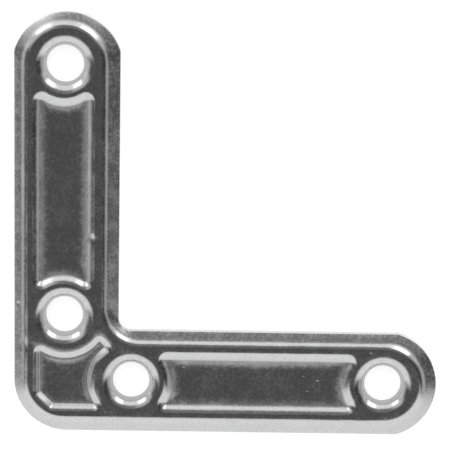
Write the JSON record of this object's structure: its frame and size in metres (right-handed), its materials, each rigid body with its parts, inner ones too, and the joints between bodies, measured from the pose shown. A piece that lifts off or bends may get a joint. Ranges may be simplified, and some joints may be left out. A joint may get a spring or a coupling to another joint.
{
  "type": "flat corner brace",
  "caption": "Flat L-shaped corner brace in plated sheet steel, with a raised crest round sunken panels and countersunk screw holes.",
  "frame": {"origin": "where the centrelines of the two arms cross, on the face that sits on the work", "axes": "+X and +Y along the two arms, +Z out of the face with the relief and the countersinks"},
  "size_m": [0.06, 0.06, 0.002],
  "materials": {
    "plated_steel": "bright plating over pressed sheet steel, with a fine mottled grain, small pits and faint scuffs"
  },
  "bodies": {
    "root": {"corner_brace": "plated_steel"}
  },
  "joints": []
}
